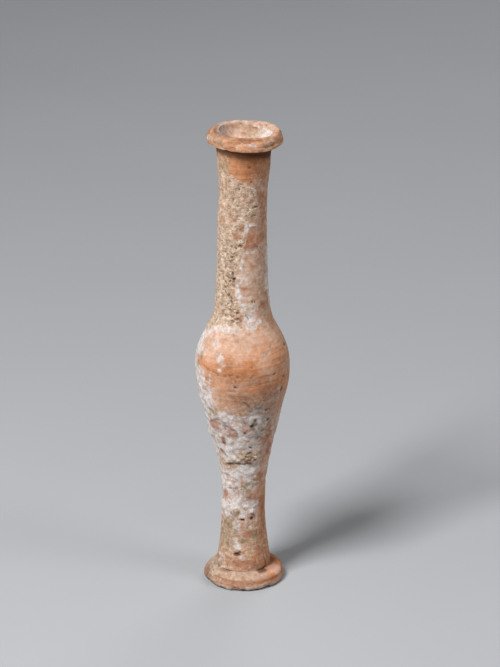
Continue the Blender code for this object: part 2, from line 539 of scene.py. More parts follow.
# %% Throwing lines and uneven walls
lines = cloud(26, 3, tall=1.4) - 0.5
waves = cloud(30, 4, tall=5, octaves=1) - 0.5
unevenness = cloud(12, 5) - 0.5
shown = 0.25 + 0.75 * soft_share(broad, 0.35, 0.65)
thrown = outer * (0.16 * lines * shown + 0.12 * waves + 0.3 * unevenness)
UNEVEN_MARKS = [
    # angle, height, width, tallness, and millimetres out or in
    (-90, 178, 20, 16, -0.25),
    (90, 178, 20, 18, 0.28),
    (-90, 161, 18, 9, 0.35),
    (-90, 139, 18, 12, -0.4),
    (-90, 120, 20, 20, -0.35),
    (90, 122, 14, 6, 0.3),
    (90, 80, 24, 12, -0.45),
    (-85, 68, 10, 4, 0.4),
    (90, 45.5, 10, 3, -0.3),
    (-85, 31.5, 10, 4, 0.25),
    (95, 23, 14, 16, -0.3),
    (-90, 8, 16, 3, -0.3),
]
BEAD_HEIGHT, GROOVE_HEIGHT, STEM_END = 5.0, 3.2, 7.2
CORNER_RADIUS, CORNER_HEIGHT, CORNER_REACH = 11.2, 7.0, 2.4

thrown += outer * added_marks(UNEVEN_MARKS, ragged=0.2, edge=1.0)
foot_form = 0.3 * ridge(height, BEAD_HEIGHT, 0.8) * (1.0 - soft_share(-angle, 50, 80) * in_front)
foot_form -= 0.32 * ridge(height, GROOVE_HEIGHT, 0.7) + mark(-95, 5.2, 30, 3, 0.5, ragged=0.2)
foot_form -= 0.15 * below(0.2, 1.2)
foot_form += 0.6 * ridge(height, STEM_END, 0.9) * soft_share(-angle, -20, 30) * in_front
from_corner = np.hypot(radius - CORNER_RADIUS, height - CORNER_HEIGHT)
foot_form += ridge(from_corner, 0, CORNER_REACH) * soft_share(-angle, 32, 58) * in_front
push("Thrown", thrown + foot_form * outer)
print("throwing lines in mm:", round(float(thrown.min()), 2), "to", round(float(thrown.max()), 2))

# %% [markdown]
# ## The soil crust
#
# The tan crust on the left of the neck is sandy soil, cemented onto the clay. It stands about
# half a millimetre proud, with coarse grains and dark gaps along its middle, and its right edge
# runs down the neck like a coastline. That edge is given as an angle at a few heights, and its
# lower end as a height at a few angles. A thinner dust of it lies on the collar and the stem.

# %% Soil
SOIL_EDGE_HEIGHTS = [112, 118, 121, 125, 130, 136, 141, 146, 150, 155, 160, 164, 170, 176, 180, 183, 187]
SOIL_EDGE_ANGLES = [-60, -2, 0, 2, -18, -18, -17, -4, 0, 12, 2, 16, 38, 32, 14, -24, -44]
SOIL_BACK_ANGLE = -150.0
SOIL_FOOT_ANGLES = [-180, -100, -80, -60, -40, -10, 0]
SOIL_FOOT_HEIGHTS = [112, 112, 113.5, 116.5, 118.5, 119, 119.5]
GAP_ZONES = [
    # angle, height, width, tallness, strength, lean
    (-28, 137, 7, 40, 1),
    (-12, 123, 8, 8, 1),
    (-15, 172, 6, 20, 0.55),
    (-2, 154, 7, 6, 0.7),
    (28, 170, 6, 8, 0.35),
    (8, 60.5, 9, 5, 1),
]
SOIL_MARKS = [
    (-38, 55.3, 9, 4.4, 0.8, 4),
    (-60, 58, 4, 5, 0.6),
    (10, 60.4, 9, 3.8, 1, 4),
    (-44, 18, 7, 5, 0.7),
    (-58, 4.5, 9, 5, 0.6),
    (-66, 197.6, 6, 3, 0.5),
    (-12, 197.8, 6, 2.6, 0.4),
]
SOIL_STROKES = [
    ([(-50, 56.2), (-30, 57.3), (-16, 58), (-5, 57.9), (6, 57.9), (24, 58.4)], 1.3, 0.9),
    ([(-49, 54.8), (-30, 55.4), (-14, 55.6)], 1.6, 0.6),
]

soil_edge = np.interp(height, SOIL_EDGE_HEIGHTS, SOIL_EDGE_ANGLES)
soil_foot = np.interp(angle, SOIL_FOOT_ANGLES, SOIL_FOOT_HEIGHTS)
wander = (cloud(1.8, 6, octaves=3) - 0.5) * 24.0
soil = soft_share(soil_edge - angle + wander, -5, 5)
soil *= soft_share(height - soil_foot + (cloud(3, 7) - 0.5) * 4, -1, 1)
soil *= soft_share(angle - SOIL_BACK_ANGLE + wander * 2, -10, 10)
soil *= fade_out(height + (coarse - 0.5) * 5, 187, 192)
collar_soil = band(178, 181, 191, 193)
collar_soil *= soft_share(-angle + wander, 24, 40) * soft_share(angle, -140, -110)
soil *= 1.0 - above(148, 162) * (0.06 + 0.42 * broad)
soil = np.maximum(soil, 0.52 * collar_soil)
left_stem = 0.5 * fade_out(angle, -20, 20) * in_front
stem_dust = np.maximum(left_stem, 0.42 * above(8, 10)) * below(28, 34)
soil = np.maximum.reduce([soil, stem_dust, marks(SOIL_MARKS), strokes(SOIL_STROKES)]) * outer
grit = soft_share(cloud(1.1, 8, tall=0.8), 0.3, 0.75)
gap_zone = 0.2 + 0.35 * soft_share(-angle + wander, 5, 30) * below(150, 168)
gap_zone = np.maximum(gap_zone, 0.2 + 0.8 * marks(GAP_ZONES))
# The dark colour in the gaps between the crust's grains is painted shade.
gaps = soil * gap_zone * soft_share(cloud(1.1, 9, tall=0.8), 0.4, 0.7)
crust_depth = soil * (0.2 + 0.16 * grit + 0.25 * gap_zone * (grit - 0.3)) - 0.3 * gaps
print("soil covers", round(float(soil[outer > 0.5].mean()) * 100), "% of the wall")

# %% [markdown]
# ## Lime
#
# White lime is what hard water leaves behind. It runs down the left side of the belly, makes a
# pale arc where the soil ends, mottles the lower body and the stem, and is scattered over the
# back. It is thickest, and lumpy, on the belly's lower left, and three lines of it stand out.
# Here it is given as how much of the surface it covers. The material breaks it into flecks.

# %% Lime
LIME_HEIGHTS = [0, 7, 12, 18, 28, 31, 37, 42, 48, 56, 62, 72, 79, 84, 87, 92]
LIME_SHARES = [0.1, 0.12, 0.2, 0.24, 0.32, 0.54, 0.68, 0.54, 0.62, 0.7, 0.76, 0.8, 0.74, 0.42, 0.16, 0.05]
LIME_LEFT_HEIGHTS = [40, 58, 64, 72, 79, 84, 90, 96, 101, 107, 113]
LIME_LEFT_ANGLES = [-70, -62, -64, -60, -50, -46, -50, -58, -74, -72, -74]
LIME_MARKS = [
    # angle, height, width, tallness, strength, lean
    (8, 180, 8, 2.6, 0.25, -8),
    (28, 181, 6, 6, 0.25),
    (5, 176.1, 2.6, 2, 0.5),
    (-12, 168, 2.2, 2.6, 0.6),
    (-37, 175, 4, 4, 0.35),
    (-21, 171, 2.4, 2, 0.5),
    (-45, 158, 9, 6, 0.35),
    (10, 160.2, 3.8, 5.6, 0.85, 10),
    (-2, 145.5, 2.4, 8, 0.65),
    (18, 150.6, 6, 2.4, 0.5),
    (74, 146.5, 3, 8, 0.9),
    (70, 136, 4, 9, 0.8),
    (5, 139, 12, 6, 0.45),
    (-10, 133.5, 2.6, 7, 0.8, 10),
    (-8, 129.5, 3.4, 3.4, 0.6),
    (6, 130.6, 8, 2.4, 0.5),
    (1, 126.6, 3.2, 3.4, 0.8, 30),
    (20, 126, 9, 4, 0.5),
    (11, 122, 6.4, 5, 0.85, -10),
    (18, 118.6, 6.5, 4, 0.7),
    (-72, 166, 6, 26, 0.4),
    (34, 120.5, 5, 3, 0.6),
    (55, 122, 4, 3, 0.5),
    (-40, 111, 5, 5, 0.45),
    (-30, 105.8, 3.4, 5, 0.65, -15),
    (-24, 103.6, 3, 2, 0.6, -20),
    (-30, 101.4, 2.8, 1.8, 0.7),
    (-44, 98, 1.8, 1.6, 0.5),
    (-60, 89, 9, 12, 1.3, 15),
    (36, 97, 3, 4, 0.45),
    (50, 90.5, 2.6, 7, 0.55),
    (55, 95.5, 4, 3, 0.3),
    (20, 85, 8, 3, 0.5),
    (-36, 72.5, 3, 9, 0.9),
    (-24, 79, 6, 3, 0.8),
    (-12, 67, 9, 5, 0.8),
    (-50, 66, 6, 5, 0.85),
    (11, 78.3, 3.4, 6, 1, -15),
    (-24, 59, 10, 3, 0.85),
    (0, 53, 12, 5.5, 1.1),
    (-62, 46, 6, 9, 0.95),
    (-25, 46.6, 7, 4, 0.75),
    (-60, 34.5, 12, 7.5, 1.6),
    (-12, 37, 9, 3.6, 0.85),
    (-18, 27, 4.4, 7, 1.2),
    (-20, 19, 3.6, 7, 1.2, 10),
    (-4, 12.9, 3.4, 2, 1.2),
    (-64, 9, 3.6, 2.4, 1.3, 30),
    (-58, 12.4, 6, 2.2, 1.1),
    (-60, 10.4, 3, 3, 0.9),
    (-76, 6.2, 10, 5, 0.75),
    (-38, 13.6, 3, 2, 1.2),
    (13, 197.9, 3, 3, 0.5),
    (-80, 197, 2, 2.4, 0.7),
]
LIME_STROKES = [
    # bends of angle and height, width, strength
    ([(-60, 1.6), (-30, 1.4), (0, 1.5), (40, 1.6)], 1.8, 0.5),
    ([(-9, 181.2), (0, 180.2), (12, 178.6), (25, 177.2), (33, 174)], 1.2, 0.8),
    ([(4, 161.8), (20, 161.7), (36, 161.6)], 0.8, 0.8),
    ([(40, 159), (52, 157.8)], 0.7, 0.6),
    ([(86, 166), (79, 159), (85, 151), (77, 144), (81, 138), (74, 131), (82, 124)], 1.8, 0.75),
    ([(-13, 99.2), (-11, 96.6), (-13, 94)], 0.7, 0.5),
    ([(-7, 98.8), (-5, 96.2)], 0.6, 0.4),
    ([(-14, 92.6), (-9, 92), (-5, 92.8)], 0.7, 0.45),
    ([(-80, 191), (-77, 180), (-80, 166)], 1.8, 0.45),
]
RAISED_STROKES = [
    ([(-50, 78), (-36, 79.4), (-29, 78), (-21, 75.6)], 1.4, 1.1),
    ([(-52, 63.4), (-43, 62.4), (-33, 60.8)], 1.1, 1),
    ([(2, 33.6), (26, 33.4)], 1, 0.7),
]

mottle = cloud(2.6, 10, tall=2.2, octaves=3)
lime_share = np.interp(height, LIME_HEIGHTS, LIME_SHARES)
lime_share -= 0.44 * (soft_share(angle, 16, 55) + soft_share(-angle, 100, 160))
lime = np.clip(lime_share + 1.4 * (mottle - 0.5), 0.0, 1.0) * soft_share(lime_share, 0, 0.2)
left_edge = np.interp(height, LIME_LEFT_HEIGHTS, LIME_LEFT_ANGLES)
left_lime = soft_share(left_edge - angle + (mottle - 0.5) * 44 + (broad - 0.5) * 16, -16, 14)
left_lime *= band(55, 64, 112, 116)
ragged_back = angle + 1.2 * wander + 40.0 * (broad - 0.5)
left_lime *= soft_share(ragged_back, -145, -115) * (0.95 + 0.45 * coarse)
above_foot = height - soil_foot + (coarse - 0.5) * 2.5 + (fine - 0.5)
arc = between(above_foot, -6, -0.5, 1.5, 3.5)
arc *= 1.0 - 0.45 * soft_share(angle, -22, 2) - 0.55 * soft_share(angle, 12, 28)
arc *= 0.72 * soft_share(angle, -125, -100)
spots = np.maximum(marks(LIME_MARKS), strokes(LIME_STROKES + RAISED_STROKES))
scattered = soft_share(cloud(7, 22, octaves=3), 0.55, 0.75) * above(12, 20)
spots = np.maximum(spots, 0.8 * scattered * soft_share(np.abs(angle), 80, 110))
lime = np.maximum.reduce([lime, left_lime, arc, spots])
lime *= outer * (1.0 - 0.55 * soil)
even_lime = np.maximum(left_lime, arc)
flakes = cloud(2, 16, octaves=3) - 0.5
flaking = outer * soft_share(lime, 0.2, 0.6) * flakes * (0.95 - 0.65 * even_lime)
lumpy = 0.9 * left_lime * (mottle - 0.5) * below(86, 100)
lime_depth = 0.1 * soft_share(lime, 0.3, 0.9) * (0.5 + cloud(1.8, 11))
lime_depth += outer * (0.12 * even_lime * mottle + lumpy + mark(-62, 33.5, 13, 6, 0.35))
print("lime covers", round(float(lime[outer > 0.5].mean()) * 100), "% of the wall")

# %% [markdown]
# ## Stains
#
# Other layers are left to the material: a thin dusty film of lime and soil on the right of the
# neck and over the stem, pale smears across the shoulder, brown and reddish soil stains, and
# olive patches. The clay itself is a deeper orange on the belly, where it lies bare.

# %% Film
FILM_MARKS = [
    (-34, 111, 26, 9, 0.6),
    (-14, 96, 32, 7, 0.5),
    (72, 98, 10, 24, 0.6),
    (40, 99, 20, 14, 0.25),
]
CRISP_FILM_MARKS = [
    (-30, 184, 5, 16, 0.6, 10),
    (-8, 119.5, 7, 6, 0.8),
    (-16, 130.5, 5, 6, 0.8),
]
PALE_STROKES = [
    ([(25, 107), (35, 108.6), (46, 110.6), (64, 111.8)], 1, 0.85),
    ([(26, 105.6), (42, 108.8)], 0.9, 0.7),
    ([(18, 104), (30, 106.4)], 1.8, 0.5),
    ([(4, 96.4), (14, 98.8), (22, 100.2), (34, 99.8)], 0.8, 0.45),
    ([(-12, 99.8), (-7, 97), (-11, 94)], 2.6, 0.45),
    ([(-34, 107.6), (-28, 103.6)], 3, 0.7),
    ([(4, 109.4), (18, 110.4)], 1.3, 0.7),
    ([(-60, 104.6), (-30, 104), (-8, 103.8)], 1.2, 0.35),
    ([(-100, 1), (-60, 1.1), (-34, 0.8), (0, 1), (40, 1.1), (100, 1)], 2, 1.1),
]

neck_film = np.maximum(soft_share(angle, -30, 0), behind) * band(117, 126, 176, 184)
neck_film *= 1.0 - 0.25 * above(150, 160)
upper_film = 0.65 * np.maximum(soft_share(angle, 10, 40), behind) * above(108, 117)
edge_film = 0.7 * between(angle, 52, 80, 110, 160) * band(94, 110, 150, 165)
stem_film = 0.55 + 0.17 * above(24, 34)
stem_film -= 0.4 * soft_share(angle, 25, 60) * right_side * below(40, 60)
stem_film *= band(10, 18, 78, 90)
clean_foot = between(angle, 28, 55, 120, 170)
foot_film = 0.95 * band(4, 5, 7, 8.6) * (1.0 - 0.85 * clean_foot)
foot_film = np.maximum(foot_film, 0.3 * below(5, 14) * (1.0 - clean_foot))
haze_under_soil = 0.7 * between(above_foot, -16, -6, 1, 3) * fade_out(angle, 20, 40) * in_front
lip_film = (0.46 - 0.4 * soft_share(angle, 28, 52) * right_side) * above(194, 195.5)
back_rim_film = 0.9 * facing(175, 50, 85) * above(198.8, 199.6)
right_rim_film = 0.65 * facing(105, 55, 95) * above(198.6, 199.4)
film = np.maximum.reduce([
    neck_film, upper_film, edge_film, stem_film, foot_film, haze_under_soil, lip_film, back_rim_film,
    marks(FILM_MARKS, edge=1.0), marks(CRISP_FILM_MARKS), strokes(PALE_STROKES),
    mark(30, 87, 28, 11, 0.9, edge=0.8), mark(-8, 88.5, 30, 9, 0.5, edge=0.9),
])

# The lip's right and the collar are cleaner, and on the neck the film follows the thrown lines.
film -= 0.4 * mark(75, 197, 12, 5) + 0.3 * band(178, 184, 192, 194)
film = np.maximum(film, right_rim_film)
film = film * outer + mouth + 1.1 * lines * band(118, 126, 162, 172)
film = np.clip(film + 0.7 * (cloud(6, 12, tall=3, octaves=3) - 0.5), 0.0, 1.0)
print("filmy points:", int((film > 0.5).sum()))

# %% Rust and olive stains
RUST_MARKS = [
    # angle, height, width, tallness, strength, lean
    (-40, 184.5, 4.5, 2.6, 0.5),
    (2, 175.6, 3.4, 2.2, 0.55),
    (5, 172.6, 4, 2, 0.6),
    (1, 170.4, 3, 2.2, 0.5),
    (20, 172.4, 3.4, 2.4, 0.6),
    (50, 171.5, 4, 7, 0.8),
    (58, 163.5, 3, 7, 0.7),
    (-21, 164.3, 3.6, 2.6, 0.7),
    (-55, 163.5, 4, 5, 0.5),
    (-15, 157.3, 3.8, 3.4, 0.8),
    (-3, 161.2, 1.8, 3, 0.8),
    (20, 156.5, 3.6, 7.5, 1),
    (29, 158, 2, 4.6, 0.7),
    (18, 153, 5, 4, 0.8),
    (46, 156, 5, 7, 0.6),
    (22, 143.6, 3.4, 3.6, 0.6),
    (3, 134.8, 4, 1.6, 0.7),
    (26, 133.9, 4, 3, 0.4),
    (48, 126.5, 5, 3.4, 0.7),
    (64, 128, 3, 8, 0.6),
    (-4, 122.7, 3, 3.4, 0.6),
    (-12, 96, 6, 7, 0.5),
    (24, 96, 12, 6, 0.45, 10),
    (32, 91, 14, 7, 0.7),
    (10, 86.5, 10, 4, 0.5),
    (30, 84, 8, 3, 0.5),
    (-47, 74.6, 7, 6, 1),
    (-18, 71.8, 5.6, 5.6, 0.85, -20),
    (-36, 67.6, 2.2, 7, 1),
    (4, 75, 3.6, 8, 0.7),
    (-3, 84, 8, 4, 0.4),
    (45, 70, 6, 9, 0.75),
    (57, 62.5, 4, 6, 0.95),
    (-43, 60.6, 6, 1.6, 0.8, -16),
    (16, 58.3, 6, 1.8, 0.9, 6),
    (40, 49.6, 4.6, 5, 0.9),
    (-30, 47.6, 4, 1.2, 0.7),
    (-26, 42.4, 3.6, 4, 0.35),
    (-55, 39.7, 3, 5, 0.95),
    (-14, 42.3, 1.4, 3.6, 0.7),
    (18, 40, 6, 3.6, 0.7),
    (57, 36, 4, 7.5, 0.8),
    (-20, 33.4, 4.4, 3.6, 0.55),
    (24, 31, 2.6, 3.6, 0.8, 20),
    (12, 23, 4, 3.6, 1),
    (6, 27, 5, 3, 0.4),
    (46, 22, 4, 6, 0.7),
    (42, 15.5, 5, 4, 0.8),
    (0, 10, 16, 4, 0.6),
    (-6, 10.2, 1.4, 3.6, 0.8),
    (23, 9.8, 1.8, 4, 0.8),
    (-75, 3.6, 9, 5, 0.6),
    (48, 3, 8, 2.6, 0.9),
    (-52, 93, 5, 7, 0.55),
    (60, 28, 4, 14, 0.6),
    (15, 198.8, 5, 1, 0.5),
    (-36, 197.8, 5, 3, 0.5),
    (12, 196.6, 2.4, 1.4, 0.7),
    (52, 198, 6, 3, 0.5),
    (74, 198.6, 6, 3, 0.6),
]
OLIVE_MARKS = [
    (-60, 187.5, 4, 6, 0.6),
    (-47, 187, 6, 7, 0.55),
    (-50, 174, 7, 4, 0.3),
    (-58, 128, 6, 6, 0.35),
    (28, 165.5, 5, 3, 0.5),
    (-64, 104.8, 3, 3.4, 0.8),
    (-70, 100.5, 3, 3, 0.8),
    (-46, 80.6, 6.6, 4, 0.8, 10),
    (17, 75.9, 2.2, 5, 1.1, -20),
    (15, 84.5, 12, 3.6, 0.5, 10),
    (28, 72, 6, 10, 0.6),
    (14, 66, 6, 3, 0.4),
    (9, 61.2, 7.6, 2.8, 0.7, 6),
    (-20, 33.4, 4, 3, 0.8),
    (6, 45, 4.6, 7, 0.7),
    (-45, 50.4, 4, 1, 0.8),
    (-50, 22, 11, 17, 0.55),
    (-50, 198.2, 9, 4, 0.5),
    (-47, 26, 6, 4.4, 1.1),
    (-52, 21.5, 5, 4, 0.7),
    (-42, 18.2, 4, 3.6, 0.9),
    (29, 22.8, 2.2, 4, 1, -20),
    (-5, 20.4, 3.2, 2.4, 1.1),
    (8, 20.6, 3, 1.6, 0.6),
    (42, 19, 5, 1.6, 0.4),
    (-60, 8.2, 4, 2.6, 0.8),
    (-62, 4, 9, 3, 0.5),
    (62, 198.3, 2.6, 3, 0.3),
    (-20, 199, 5, 1.2, 0.4),
]
RUST_STROKES = [
    ([(-48, 4.6), (-20, 4.3), (12, 4.5)], 0.8, 0.7),
    ([(-44, 2.6), (-4, 2.5), (30, 3)], 0.9, 0.7),
    ([(-30, 199.2), (-8, 199.6), (20, 199.5), (50, 199.6)], 0.6, 0.5),
    ([(-10, 88), (14, 87), (40, 88)], 1.4, 0.6),
]
rust = np.maximum(marks(RUST_MARKS), strokes(RUST_STROKES)) * outer
olive = marks(OLIVE_MARKS) * outer
print("stained points:", int((rust > 0.5).sum()), "brown,", int((olive > 0.5).sum()), "olive")

# %% The clay's own tone
TONE_MARKS = [
    # angle, height, width, tallness, how much paler
    (-4, 99, 44, 22, -0.3),
    (36, 92, 22, 12, -0.1),
    (-28, 111, 26, 12, 0.15),
    (50, 112, 28, 20, 0.2),
    (-62, 108, 14, 16, 0.35),
    (38, 100, 12, 12, 0.2),
    (-42, 98, 10, 24, 0.2),
    (62, 98, 14, 26, 0.18),
    (-8, 88, 36, 10, 0.25),
    (-10, 96.5, 34, 8, 0.35),
]

lip_streaks = 1.1 * (cloud(5, 21, tall=0.8) - 0.5) - 0.22
tone = 0.45 + 0.6 * (cloud(9, 13, octaves=3) - 0.5) + added_marks(TONE_MARKS, edge=1.0)
tone += mark(78, 197, 10, 6, 0.2) + mark(66, 5.2, 8, 4, 0.5)
tone += lip_streaks * above(194, 196)
tone += 0.15 * left_side * above(197, 199) + 0.2 * below(2.4, 3.4)
tone -= 0.3 * ridge(height, 186, 5) * np.maximum(soft_share(angle, -30, 10), behind)
tone = np.clip(tone, 0.0, 1.0)
print("tone on average:", round(float(tone.mean()), 2))

# %% [markdown]
# ## Pits, scratches and the ledge
#
# Holes are where a pebble fell out of the clay or the crust. The biggest is the dark slot low on
# the stem, and the dark colour in the holes is partly dirt and partly painted shade. Scratches and
# cracks are shallow dark lines, and two dark lines just under raised lime lines are painted
# shadow. A ledge of crust stands out under the body, with a shadow beneath it that is partly
# painted, and there are a few lumps of crust.

# %% Pits and the ledge
PIT_MARKS = [
    # angle, height, width, tallness, strength, lean
    (14, 187.2, 2.2, 1.1, 0.75),
    (-9, 177.8, 1.2, 1.2, 0.8),
    (-24, 172.8, 1.2, 2, 0.6),
    (33, 169.6, 2.4, 0.7, 0.8),
    (29, 166, 2, 0.6, 0.6, 10),
    (-5, 153.3, 2.2, 0.9, 0.9, 10),
    (-15, 152.2, 1.4, 0.8, 0.8),
    (-24, 148.2, 1.6, 0.9, 0.9, 30),
    (-34, 146.6, 1.6, 0.7, 0.7),
    (-21, 141.2, 1, 2.4, 0.8),
    (-19, 138.8, 1.6, 1, 1, 10),
    (-29, 137.7, 1.8, 0.7, 0.8, 10),
    (-32, 131.6, 1.6, 1.1, 0.9),
    (-23, 129.2, 1.1, 2, 0.8, 20),
    (-10, 124.2, 1.6, 0.8, 0.8, 40),
    (-12, 121.8, 2.4, 0.8, 0.9),
    (-20, 120.8, 1.6, 0.7, 0.6),
    (-2, 118.4, 1.2, 1, 0.7),
    (22.5, 128.7, 0.6, 0.7, 0.9),
    (29, 128.6, 0.6, 0.7, 0.9),
    (11, 122.4, 0.9, 2.2, 0.6, 30),
    (12, 102.9, 1.6, 0.7, 0.6),
    (-6, 99, 1.6, 1.1, 0.75),
    (-9, 94.4, 1.8, 0.8, 0.8),
    (-15, 92.3, 1, 0.8, 0.5),
    (42, 98.7, 2, 0.9, 0.6),
    (58, 90.3, 1.4, 2.6, 0.9, -10),
    (60, 95.8, 1.2, 1.4, 0.7),
    (80, 107.6, 2.6, 1.2, 0.9, -8),
    (11, 94.3, 1.2, 0.9, 0.5),
    (34, 82.6, 1.8, 0.9, 1),
    (40, 82.6, 1.2, 0.7, 0.7),
    (41, 77.3, 1.8, 1.6, 0.7, -15),
    (14, 75.4, 1.8, 1.3, 1, 30),
    (18, 78.2, 1, 1.4, 0.7),
    (3, 72.3, 1.2, 0.8, 0.8),
    (-15, 73.3, 1.6, 0.8, 0.7),
    (-38, 65.8, 1.2, 1.6, 0.6),
    (14, 64.6, 1.8, 0.7, 0.7, -30),
    (12, 62, 3.4, 0.9, 0.9, 4),
    (-4, 30, 2, 1, 1),
    (22, 30.3, 1.6, 1.3, 1, 20),
    (-17, 14.3, 3.2, 1.5, 1.4, 6),
    (-10, 15.3, 1.6, 1, 0.9, 10),
]
DARK_STROKES = [
    ([(-60, 101.5), (-46, 100.2), (-36, 100.2), (-32, 99.2), (-22, 99.3)], 0.6, 0.28),
    ([(-48, 100.4), (-44, 100.1)], 1, 0.5),
    ([(-38, 100.2), (-31, 99.2)], 0.8, 0.6),
    ([(-23, 99.3), (-21, 99.3)], 1.1, 0.7),
    ([(-17, 99.6), (-12, 100.1)], 0.9, 0.6),
    ([(-10, 98.6), (-8, 96.8)], 0.6, 0.4),
    ([(9, 95.4), (13, 97.3), (18, 98.6), (30, 98.9), (42, 98.4)], 0.6, 0.5),
    ([(8, 97), (12, 99.7), (17, 101.2)], 0.6, 0.5),
    ([(10, 95.2), (22, 97.2)], 0.5, 0.35),
    ([(27, 106.4), (44, 109.8)], 0.6, 0.35),
    ([(-16, 90.4), (9, 89.9)], 0.6, 0.5),
    ([(-14, 89.2), (12, 88.9)], 0.6, 0.4),
    ([(2, 87.6), (7, 86.4), (8, 85.2)], 0.8, 0.6),
    # painted shadow under the raised lime line just above it
    ([(-48, 76.8), (-34, 78), (-28, 76.6), (-24, 74.8)], 0.8, 0.5),
    ([(-29, 75.8), (-28, 73.4)], 0.8, 0.6),
    ([(-19, 74.4), (-10, 73), (-8, 70)], 0.7, 0.4),
    ([(18, 79), (14, 75.6), (17, 73.6)], 1, 0.6),
    # painted shadow under the raised lime line just above it
    ([(-50, 62), (-42, 61.2), (-33, 59.6)], 0.8, 0.7),
    ([(-45, 43.8), (-10, 44.6)], 0.5, 0.5),
    ([(20, 48.6), (30, 48)], 0.7, 0.4),
    ([(52, 11.5), (57, 8), (46, 6.6), (30, 6.6)], 0.8, 0.6),
    ([(-50, 6.6), (-30, 6.5)], 0.7, 0.4),
    ([(-20, 199.4), (-6, 199.7), (16, 199.6), (30, 199.7)], 0.6, 0.4),
    ([(34, 196.4), (42, 196.8), (50, 197.6)], 0.9, 0.7),
    ([(8, 198.8), (12, 198.2), (10, 197.4)], 0.5, 0.5),
    ([(14, 198.2), (16, 197.2)], 0.5, 0.5),
]
LEDGE_ANGLES = [-60, -49, -30, -16, -5, 4, 12, 24, 32, 40]
LEDGE_HEIGHTS = [55, 55.6, 56.6, 57.2, 57.2, 57.1, 57.3, 57.6, 58.3, 59]
LEDGE_DEPTH = 0.6
LUMP_MARKS = [
    (10, 60.8, 8.6, 2.6, 1),
    (-20, 33.4, 4.4, 3.2, 1),
    (24, 33, 3.4, 1.4, 1),
    (-66, 11.5, 5, 3, 0.7),
]
PIT_DEPTH, SMALL_PIT_DEPTH, STROKE_DEPTH = 0.6, 0.2, 0.16
BELLY_HEIGHT = 101.0

pits = marks(PIT_MARKS, ragged=0.4, edge=0.5) * outer
dark_lines = strokes(DARK_STROKES) * outer
off_belly = soft_share(np.abs(height - BELLY_HEIGHT), 18, 30)
small_pits = off_belly * outer * soft_share(cloud(1.5, 15, octaves=1), 0.9, 0.98) * (1.0 - soil)
ledge_line = np.interp(angle, LEDGE_ANGLES, LEDGE_HEIGHTS) + (fine - 0.5) * 0.7
ledge = between(height - ledge_line, -0.3, 0.3, 0.8, 5)
ledge *= between(angle, -52, -35, 24, 34) * outer
# Under the ledge a band of painted shadow, where the skin also dips a little.
under_ledge = ridge(height - ledge_line, -0.5, 0.45) * soft_share(angle, -46, -30)
under_ledge *= fade_out(angle, 14, 26) * outer
crust_depth += LEDGE_DEPTH * ledge * (0.7 + 0.5 * grit) - 0.15 * under_ledge
crust_depth += 0.3 * added_marks(LUMP_MARKS) * (0.5 + grit) * outer
raised_lines = 0.15 * strokes(RAISED_STROKES) * outer
push("Crust", crust_depth + lime_depth + flaking + raised_lines)
push("Pits", -PIT_DEPTH * pits - SMALL_PIT_DEPTH * small_pits - STROKE_DEPTH * dark_lines)
print("crust stands out by mm:", round(float((crust_depth + lime_depth).max()), 2))

# %% [markdown]
# ## Chips on the lip and the foot
#
# The thin edges have lost small flakes. They are pushed in where a cloud is strongest, only
# along the lip's edge and the foot's lower edge. The lip's face is streaked by the wheel.

# %% Chips
lip_edge = band(193.5, 195, 196.5, 198.5) * soft_share(radius, 13.6, 15)
foot_edge = below(1.2, 2.8) * soft_share(radius, 13.5, 15.5) * (1.0 - ground)
chips = soft_share(cloud(3.4, 14), 0.5, 0.75)
worn = (cloud(2.2, 17) - 0.5) * 0.4
lip_face = above(195.5, 196.5) * soft_share(wall_facing, 0, 0.3)
lip_wisps = lip_face * (cloud(3, 18, tall=0.9, octaves=3) - 0.5) * 0.5
chip_depth = (0.45 * lip_edge + 0.6 * foot_edge) * chips
push("Chips", (lip_edge + foot_edge) * worn + lip_wisps - chip_depth)
print("chipped points:", int(((lip_edge + foot_edge) * chips > 0.5).sum()))

# %% [markdown]
# ## Painted shade and grime
#
# Shade is painted into the low places: between the flakes of lime and the grains of the crust,
# where the stem meets the foot, under the ledge, along the foot's lower edge, in the deepest holes,
# and most of all in the corner under the lip, where it is the lip's painted shadow. Wider, fainter
# dark patches are added too, one of them the stem's painted shadow on the foot. It darkens
# whatever colour is there.

# %% Painted shade and grime
UNDER_LIP_SHADOW_ANGLES = [-180, -90, -50, 0, 64, 120, 180]
UNDER_LIP_SHADOW_HEIGHTS = [191, 193, 193.4, 191.8, 189.4, 190.2, 191]
FOOT_CORNER = 6.9
RUBBED_AND_SHADE_MARKS = [
    (33, 87.5, 22, 12, 0.18),
    (-86, 3.2, 13, 6, 0.3),
    # painted shadow of the stem on the foot's right
    (80, 5, 9, 6, 0.25),
    (40, 76, 14, 18, 0.14),
    (2, 27, 15, 15, 0.12),
    (-5, 167, 22, 34, 0.1),
]

# The corner under the lip gets the lip's painted shadow, whose lower edge drops towards the right.
lip_shadow_bottom = np.interp(angle, UNDER_LIP_SHADOW_ANGLES, UNDER_LIP_SHADOW_HEIGHTS)
corner = soft_share(height - lip_shadow_bottom, -2.2, 1.6) * below(195, 195.5)
corner *= (wall_facing > -0.3) * fade_out(radius, 15.2, 15.7)
# Painted shade in the crease where the stem meets the foot, used on the right.
stem_foot_shade = fade_out(np.abs(height - FOOT_CORNER), 0.2, 1.2) * outer
# Painted shade in the hollows between the lime's flakes and between the crust's low grains.
hollow_shade = 0.45 * soft_share(-flakes, 0, 0.25) * soft_share(lime, 0.2, 0.5) * outer
hollow_shade *= 1.0 - 0.8 * even_lime
hollow_shade = np.maximum(hollow_shade, soft_share(-grit, -0.6, -0.1) * soil * (0.15 + 0.6 * gap_zone))
# A painted contact shadow along the foot's lower edge.
contact_shadow = below(0.1, 0.6) * soft_share(radius, 14, 15.5)
